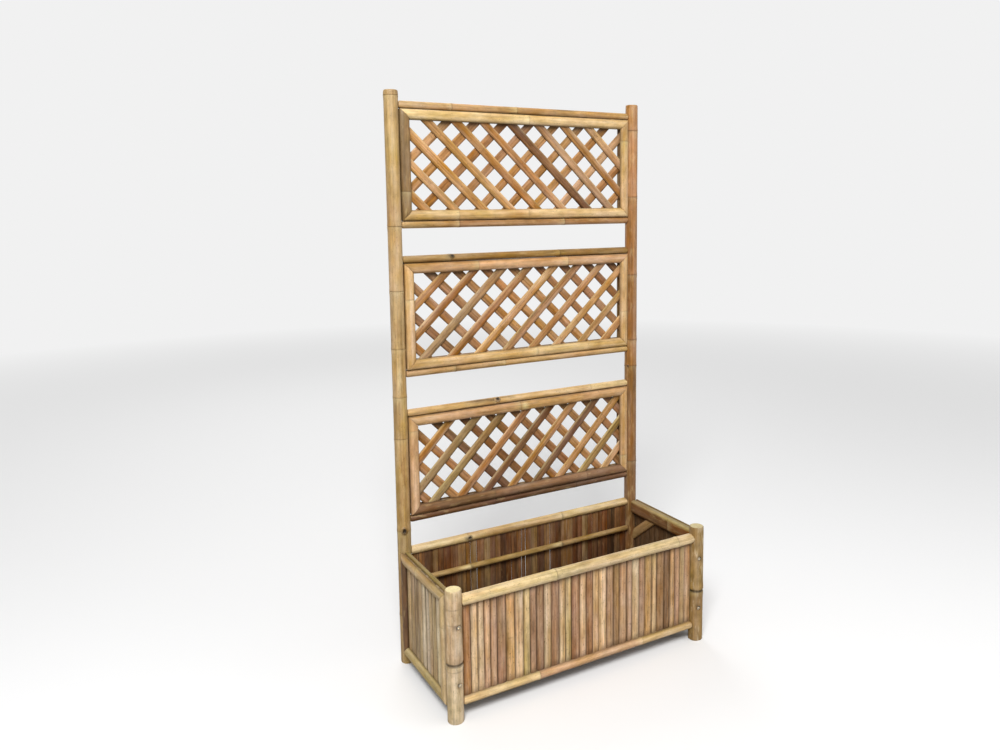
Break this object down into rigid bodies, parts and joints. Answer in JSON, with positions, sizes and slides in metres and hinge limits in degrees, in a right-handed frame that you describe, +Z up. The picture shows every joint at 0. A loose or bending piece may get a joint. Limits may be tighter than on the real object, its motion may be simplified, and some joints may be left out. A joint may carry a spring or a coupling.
{
  "type": "planter with trellis",
  "caption": "Free-standing bamboo planter: a slatted box on round posts, with framed diagonal lattice panels rising between the tall back posts.",
  "frame": {"origin": "on the ground, under the middle of the planter's outline", "axes": "+Z up, -Y is the front with the low posts, +Y is the back with the trellis, +X to the right seen from the front"},
  "size_m": [0.7, 0.316, 1.35],
  "materials": {
    "post_culm": "weathered bamboo culm, pale grey-beige, satin skin with node rings",
    "trellis_post_culm": "bamboo culm, light tan, satin skin with node rings",
    "rail_culm": "bamboo pole, light tan, satin skin with node rings",
    "olive_rail_culm": "bamboo pole, pale olive yellow, satin skin",
    "frame_strip": "split bamboo half-round, tan, satin skin",
    "dark_frame_strip": "split bamboo half-round, dark brown, dull skin",
    "lattice_slat": "split bamboo slat, orange tan, matt",
    "wall_slat": "split bamboo slats, mixed tan, yellow, red-brown and grey, matt",
    "side_wall_slat": "split bamboo slats, weathered grey olive, matt",
    "inner_slat": "split bamboo slats seen from inside, dark brown, matt",
    "screw_steel": "dull zinc steel"
  },
  "bodies": {
    "root": {"front_left_post": "post_culm", "front_right_post": "post_culm", "back_left_post": "trellis_post_culm", "back_right_post": "trellis_post_culm", "upper_top_rail": "rail_culm", "upper_bottom_rail": "rail_culm", "upper_frame_top": "frame_strip", "upper_frame_right": "frame_strip", "upper_frame_bottom": "frame_strip", "upper_frame_left": "frame_strip", "upper_rear_frame": "frame_strip", "upper_lattice": "lattice_slat", "middle_top_rail": "rail_culm", "middle_bottom_rail": "rail_culm", "middle_frame_top": "frame_strip", "middle_frame_right": "frame_strip", "middle_frame_bottom": "frame_strip", "middle_frame_left": "frame_strip", "middle_rear_frame": "frame_strip", "middle_lattice": "lattice_slat", "lower_top_rail": "rail_culm", "lower_bottom_rail": "rail_culm", "lower_frame_top": "frame_strip", "lower_frame_right": "frame_strip", "lower_frame_bottom": "dark_frame_strip", "lower_frame_left": "frame_strip", "lower_rear_frame": "frame_strip", "lower_lattice": "lattice_slat", "front_top_rail": "olive_rail_culm", "back_mid_rail": "olive_rail_culm", "front_bottom_rail": "rail_culm", "back_top_rail": "rail_culm", "back_bottom_rail": "rail_culm", "floor_bearer": "rail_culm", "front_wall_slats": "wall_slat", "back_wall_slats": "inner_slat", "floor_slats": "inner_slat", "left_frame_top": "frame_strip", "left_frame_front": "frame_strip", "left_frame_bottom": "frame_strip", "left_frame_back": "dark_frame_strip", "left_wall_slats": "side_wall_slat", "left_inner_top": "frame_strip", "left_brace": "frame_strip", "left_screw_batten": "frame_strip", "left_floor_ledge": "rail_culm", "left_upper_screw": "screw_steel", "left_lower_screw": "screw_steel", "right_frame_top": "frame_strip", "right_frame_front": "frame_strip", "right_frame_bottom": "frame_strip", "right_frame_back": "dark_frame_strip", "right_wall_slats": "side_wall_slat", "right_inner_top": "frame_strip", "right_brace": "frame_strip", "right_screw_batten": "frame_strip", "right_floor_ledge": "rail_culm", "right_upper_screw": "screw_steel", "right_lower_screw": "screw_steel"}
  },
  "joints": []
}
